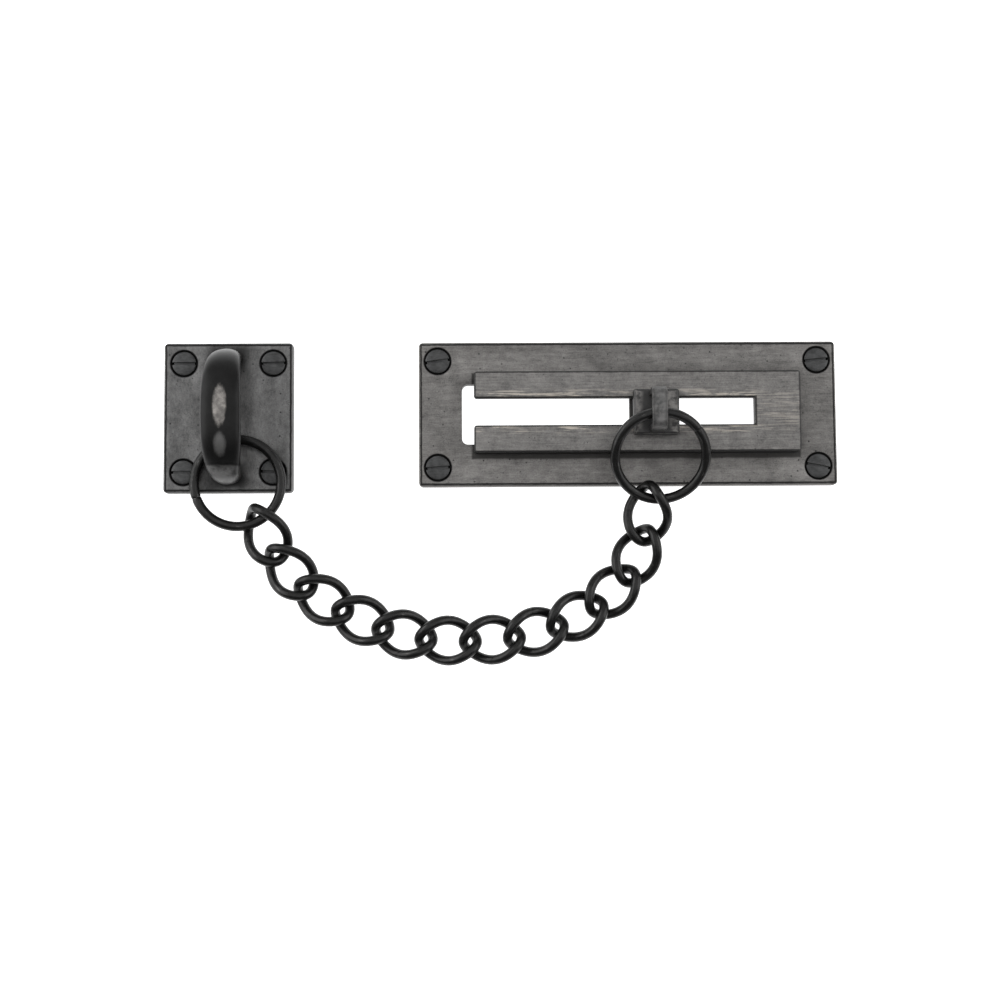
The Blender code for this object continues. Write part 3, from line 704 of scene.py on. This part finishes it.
def forged_bow_piece(material):
    """The bow: tenons, round feet, and legs that widen into the flat oval front."""
    low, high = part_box("staple_bow")
    middle = (low + high) / 2
    leg = (high.y - low.y - BOW_FOOT_DEPTH) / 2
    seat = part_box("jamb_plate")[1].z + BOW_CLEARANCE
    reach = high.z - BOW_FRONT_DEPTH / 2 - seat
    front_half = (high.x - low.x) / 2
    squareness = 2 / BOW_SQUARENESS
    across = Vector((1.0, 0.0, 0.0))
    shake = random.Random(7)
    waves = [(shake.uniform(0.5, 3.5), shake.uniform(0, 6.28), shake.uniform(-1, 1)) for _ in range(6)]

    def line(angle):
        lean = math.copysign(abs(math.cos(angle)) ** squareness, math.cos(angle))
        return Vector((middle.x, middle.y - leg * lean, seat + reach * math.sin(angle) ** squareness))

    def section(centre, along, half_width, half_depth, unevenness=0.0, fullness=1.0):
        outward = along.cross(across).normalized()
        ring = []
        for index in range(BOW_SIDES):
            angle = 2 * math.pi * index / BOW_SIDES
            swell = 1 + unevenness * math.sin(3 * angle)
            side = math.copysign(abs(math.cos(angle)) ** fullness, math.cos(angle))
            front = math.copysign(abs(math.sin(angle)) ** fullness, math.sin(angle))
            ring.append(centre + across * (half_width * side * swell)
                        + outward * (half_depth * front * swell))
        return ring

    rise = Vector((0.0, 0.0, 1.0))
    sections = []
    for side, order in ((-1, 1), (1, -1)):
        foot = Vector((middle.x, middle.y + side * leg, 0.0))
        stubs = [
            section(foot + rise * low.z, rise * order, BOW_TENON, BOW_TENON),
            section(foot + rise * seat, rise * order, BOW_TENON, BOW_TENON),
            section(foot + rise * seat, rise * order,
                    BOW_FOOT_WIDTH / 2 - BOW_FOOT_EDGE, BOW_FOOT_DEPTH / 2 - BOW_FOOT_EDGE),
        ]
        if side == -1:
            sections += stubs
            for station in range(BOW_STATIONS):
                angle = math.pi * (0.015 + 0.97 * station / (BOW_STATIONS - 1))
                along = (line(angle + 0.01) - line(angle - 0.01)).normalized()
                widening = math.sin(angle)
                uneven = BOW_UNEVENNESS * sum(
                    size * math.sin(rate * angle * 3 + phase) for rate, phase, size in waves)
                half_width = BOW_FOOT_WIDTH / 2 + (front_half - BOW_FOOT_WIDTH / 2) * widening
                half_depth = BOW_FOOT_DEPTH / 2 + (BOW_FRONT_DEPTH - BOW_FOOT_DEPTH) / 2 * widening
                sections.append(section(line(angle), along, half_width * (1 + uneven), half_depth,
                                        uneven, 1 - BOW_FULLNESS * widening))
        else:
            sections += list(reversed(stubs))
    bow = object_of("forged_bow", loft(sections, "bow"))
    bow.data.shade_smooth()
    bow.data.set_sharp_from_angle(angle=math.radians(45))
    return finished(bow, "jamb_side", ["staple_bow"], material)


# ---- Rings and links --------------------------------------------------------------------------------

def lie_of(node):
    """A wire loop's middle, and its long, wide and thin directions, from the CAD loop's own points."""
    points = np.array([vertex.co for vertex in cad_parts[node].data.vertices])
    centred = points - points.mean(axis=0)
    directions = np.linalg.eigh(centred.T @ centred)[1]
    thin, wide, long = (Vector(directions[:, index]) for index in range(3))
    if thin.z < 0:
        thin = -thin
    extents = [centred @ np.array(axis) for axis in (long, wide)]
    middle = points.mean(axis=0)
    for axis, reach in zip((long, wide), extents):
        middle = middle + np.array(axis) * (reach.max() + reach.min()) / 2
    sizes = [(reach.max() - reach.min()) / 2 - WIRE_RADIUS for reach in extents]
    return Vector(middle), long, wide, thin, sizes


def wire_loop(name, centre, first, second, half_first, half_second, butt_angle, butt, seed, twist=0.0):
    """A bent wire loop with a butt joint; a twist turns its two ends opposite ways, as in a curb link.
    The wire thins a little here and there, as drawn and bent wire does."""
    shake = random.Random(seed)
    waves = [(shake.randint(1, 7), shake.uniform(0, 6.28), shake.uniform(-1, 1)) for _ in range(5)]
    normal = first.cross(second).normalized()

    def on_loop(angle):
        turn = -twist * math.cos(angle)
        across = second * math.cos(turn) + normal * math.sin(turn)
        return centre + first * (half_first * math.cos(angle)) + across * (half_second * math.sin(angle))

    gap = butt / ((half_first + half_second) / 2)
    form = bmesh.new()
    unwrapped = form.loops.layers.uv.new("wire")
    rings = []
    runs = []
    run = 0.0
    previous = None
    ends = [0.0, 0.0035, 0.012]
    between = [0.02 + 0.96 * index / (WIRE_STATIONS - 1) for index in range(WIRE_STATIONS)]
    shares = ends + between + [1 - share for share in reversed(ends)]
    for number, share in enumerate(shares):
        angle = butt_angle + gap / 2 + (2 * math.pi - gap) * share
        point = on_loop(angle)
        tangent = (on_loop(angle + 0.002) - on_loop(angle - 0.002)).normalized()
        outward = tangent.cross(normal).normalized()
        rise = outward.cross(tangent)
        swell = 1 + WIRE_UNEVENNESS * sum(
            size * math.sin(rate * angle + phase) for rate, phase, size in waves)
        if number in (0, len(shares) - 1):
            swell *= 0.90 if butt else 0.97
        elif number in (1, len(shares) - 2):
            swell *= 0.975 if butt else 0.992
        if previous is not None:
            run += (point - previous).length
        previous = point
        ring = []
        for side in range(WIRE_SIDES):
            turn = 2 * math.pi * side / WIRE_SIDES
            offset = outward * math.cos(turn) + rise * math.sin(turn)
            ring.append(form.verts.new(point + offset * (WIRE_RADIUS * min(swell, 1.0))))
        rings.append(ring)
        runs.append(run)
    for index in range(len(rings) - 1):
        for side in range(WIRE_SIDES):
            after = (side + 1) % WIRE_SIDES
            face = form.faces.new((rings[index][side], rings[index][after],
                                   rings[index + 1][after], rings[index + 1][side]))
            around = [side, side + 1, side + 1, side]
            places = [runs[index], runs[index], runs[index + 1], runs[index + 1]]
            for corner, turn, place in zip(face.loops, around, places):
                corner[unwrapped].uv = (place, turn / WIRE_SIDES * 2 * math.pi * WIRE_RADIUS)
    form.faces.new(list(reversed(rings[0])))
    form.faces.new(rings[-1])
    bmesh.ops.recalc_face_normals(form, faces=form.faces)
    mesh = bpy.data.meshes.new(name)
    form.to_mesh(mesh)
    form.free()
    loop = object_of(name, mesh)
    mesh.shade_smooth()
    mesh.set_sharp_from_angle(angle=math.radians(50))
    return loop


def ring(node, butt_degrees, seed, material):
    """A round wire ring, whose butt is turned from the guard's length within the ring's own plane."""
    centre, _, _, thin, _ = lie_of(node)
    low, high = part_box(node)
    radius = (high.x - low.x) / 2 - WIRE_RADIUS
    first = (Vector((1.0, 0.0, 0.0)) - thin * thin.x).normalized()
    second = thin.cross(first)
    loop = wire_loop(node.replace("ring", "wire_ring"), centre, first, second, radius, radius,
                     math.radians(butt_degrees), RING_BUTT, seed)
    return finished(loop, node, [node], material)


def link(node, seed, material):
    """One twisted oval link, with its closed butt at the middle of one side."""
    centre, long, wide, thin, sizes = lie_of(node)
    if long.cross(wide).dot(thin) < 0:
        wide = -wide
    side = 90 if seed % 2 else 270
    loop = wire_loop(node.replace("link", "chain_link"), centre, long, wide, sizes[0], sizes[1],
                     math.radians(side), LINK_BUTT, seed, LINK_TWIST)
    return finished(loop, node, [node], material)


# ---- The slider -------------------------------------------------------------------------------------

def eye_outline(root, top):
    """The bridge-shaped eye seen from its side, as (Y, Z)."""
    half = EYE_SPAN / 2
    inner = half - EYE_THICKNESS
    inner_bend = EYE_BEND - EYE_THICKNESS
    ceiling = top - EYE_THICKNESS - inner_bend
    points = [(half, root)]
    points += arc((half - EYE_BEND, top - EYE_BEND), EYE_BEND, 0, 90, 12)
    points += arc((-half + EYE_BEND, top - EYE_BEND), EYE_BEND, 90, 180, 12)
    points += [(-half, root), (-inner, root)]
    points += arc((-inner + inner_bend, ceiling), inner_bend, 180, 90, 8)
    points += arc((inner - inner_bend, ceiling), inner_bend, 90, 0, 8)
    points += [(inner, root)]
    return points


def slider_block(material):
    """The slider's block with its eye, neck and rivet, as one forging."""
    low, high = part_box("slider_block")
    foot_low, foot_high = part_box("slider_foot")
    housing_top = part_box("track_housing")[1].z
    centre = (low + high) / 2
    back = housing_top + SLIDER_PLAY
    front = back + BLOCK_THICKNESS
    half_x = (high.x - low.x) / 2
    half_y = (high.y - low.y) / 2
    block = object_of("slider_with_eye", slab(rounded_rectangle(
        centre.x - half_x, centre.x + half_x, centre.y - half_y, centre.y + half_y, BLOCK_EDGE), back, front))
    soften(block, BLOCK_EDGE, 5)
    eye = slab(eye_outline(front - OVERCUT, high.z), -EYE_WIDTH / 2, EYE_WIDTH / 2)
    stand = Matrix(((0, 0, 1, centre.x), (1, 0, 0, centre.y), (0, 1, 0, 0), (0, 0, 0, 1)))
    eye.transform(stand)
    strap = object_of("strap", eye)
    soften(strap, 0.45 * MM, 4)
    shape = strap.data.copy()
    bpy.data.objects.remove(strap)
    boolean(block, shape, "UNION")
    boolean(block, cuboid((centre.x - NECK / 2, centre.y - NECK / 2, foot_high.z + SLIDER_PLAY),
                          (centre.x + NECK / 2, centre.y + NECK / 2, back + OVERCUT)), "UNION")
    boolean(block, turned([(RIVET, back + OVERCUT), (RIVET, foot_low.z)], centre.xy, 40), "UNION")
    block.data.shade_smooth()
    block.data.set_sharp_from_angle(angle=math.radians(38))
    return finished(block, "slider", ["slider_block"], material)


def slider_foot(material):
    """The foot riveted behind the rails."""
    low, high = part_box("slider_foot")
    centre = (low + high) / 2
    foot = object_of("riveted_foot", slab(
        rounded_rectangle(low.x, high.x, low.y, high.y, BLOCK_EDGE), low.z, high.z))
    bore = turned([(RIVET + RIVET_PLAY, high.z + OVERCUT), (RIVET + RIVET_PLAY, low.z - OVERCUT)],
                  centre.xy, 40)
    boolean(foot, bore, "DIFFERENCE")
    soften(foot, 0.25 * MM, 3, 60)
    return finished(foot, "slider", ["slider_foot"], material)


# ---- Table, light and camera ------------------------------------------------------------------------

def table():
    """A plain pale table top."""
    low, high = CAD_BOUNDS
    centre = (Vector(low) + Vector(high)) / 2
    reach = 1.6
    top = object_of("table_top", cuboid(
        (centre.x - reach, centre.y - reach, -0.02), (centre.x + reach, centre.y + reach, -0.00005)))
    finish = Finish("pale_table", 0.0, Base_Color=(0.95, 0.95, 0.95, 1.0), Roughness=0.85)
    finish.shader.inputs["Specular IOR Level"].default_value = 0.1
    finish.shader.inputs["Emission Color"].default_value = (1.0, 1.0, 1.0, 1.0)
    finish.shader.inputs["Emission Strength"].default_value = TABLE_GLOW
    top.data.materials.append(finish.material)


def softbox(name, place, aim, size, power):
    """A soft rectangular studio light."""
    light = bpy.data.lights.new(name, "AREA")
    light.shape = "RECTANGLE"
    light.size, light.size_y = size
    light.energy = power
    item = bpy.data.objects.new(name, light)
    bpy.context.scene.collection.objects.link(item)
    item.location = place
    item.rotation_euler = (Vector(aim) - Vector(place)).to_track_quat("-Z", "Y").to_euler()


def studio():
    """Soft light from all sides, a dim sky above and a camera that looks almost straight down."""
    low, high = CAD_BOUNDS
    centre = (Vector(low) + Vector(high)) / 2
    for name, (x, y, z), size, power in SOFTBOXES:
        softbox(name, centre + Vector((x, y, z)), centre, size, power)
    world = bpy.data.worlds.new("studio")
    world.use_nodes = True
    background = world.node_tree.nodes["Background"]
    background.inputs["Color"].default_value = (1.0, 1.0, 1.0, 1.0)
    background.inputs["Strength"].default_value = SKY
    bpy.context.scene.world = world
    lens = bpy.data.cameras.new("camera")
    lens.lens = CAMERA_LENS
    lens.sensor_width = 36.0
    lens.clip_start = 0.01
    camera = bpy.data.objects.new("camera", lens)
    camera.location = CAMERA_PLACE
    camera.rotation_euler = [math.radians(angle) for angle in CAMERA_TURN]
    bpy.context.scene.collection.objects.link(camera)
    bpy.context.scene.camera = camera
    bpy.context.scene.view_settings.view_transform = "Standard"


# ---- The guard --------------------------------------------------------------------------------------

def build():
    """Every piece of the guard, on its own body."""
    jamb_low, jamb_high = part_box("jamb_plate")
    door_low, door_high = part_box("door_plate")
    track_low, track_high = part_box("track_housing")
    bow_low, bow_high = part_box("staple_bow")
    slot_low, slot_high = slot_box()
    foot = Vector((BOW_FOOT_WIDTH / 2, BOW_FOOT_DEPTH / 2, 0.0))
    lower_foot = Vector(((bow_low.x + bow_high.x) / 2, bow_low.y + foot.y, 0.0))
    upper_foot = Vector((lower_foot.x, bow_high.y - foot.y, 0.0))
    jamb_iron = brushed_iron(
        "brushed_jamb_iron", jamb_low, jamb_high, JAMB_IRON_TONE, 0.006, JAMB_BRUSHING,
        screw_centres("jamb_screw"),
        # Painted cast shade round the bow's two feet and round the whole bow.
        [(centre - foot, centre + foot, 3.0 * MM, 0.75) for centre in (lower_foot, upper_foot)]
        + [(bow_low, bow_high, 3.5 * MM, 0.4)])
    # Painted cast shade along the track's outline, pushed down and right where its shadow falls on the plate.
    track_shade_low = track_low - Vector((0.4 * MM, 1.2 * MM, 0.0))
    track_shade_high = track_high + Vector((0.5 * MM, 0.0, 0.0))
    door_iron = brushed_iron(
        "brushed_door_iron", door_low, door_high, DOOR_IRON_TONE, 0.035, DOOR_BRUSHING,
        screw_centres("door_screw"),
        [(track_shade_low, track_shade_high, 0.7 * MM, 0.9),
         # A broad, faint painted shade round the right end of the track.
         (track_low + Vector((40.0 * MM, 0.0, 0.0)), track_high, 7.0 * MM, 0.3)])
    rail_iron = worn_rail("worn_rail_iron", track_low, track_high, slot_low.y, slot_high.y, RAIL_IRON_TONE)
    wire = black_wire("waxed_black_wire")
    steel = screw_steel("darkened_screw_steel")
    jamb_plate(jamb_iron)
    door_plate(door_iron)
    track_housing(rail_iron)
    forged_bow_piece(forged_bow("polished_worn_bow", bow_low, bow_high))
    for number in range(1, 5):
        slotted_screw(f"jamb_screw_{number}", "jamb_side", jamb_high.z, steel)
        slotted_screw(f"door_screw_{number}", "door_side", door_high.z, steel)
    ring("jamb_ring", 200, 3, wire)
    ring("slide_ring", 38, 5, wire)
    for number, node in enumerate(LINKS, 11):
        link(node, number, wire)
    block_low, block_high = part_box("slider_block")
    slider_block(slider_iron("rubbed_slider_iron", (block_low.x + block_high.x) / 2, block_high.z))
    slider_foot(door_iron)


build()
table()
studio()
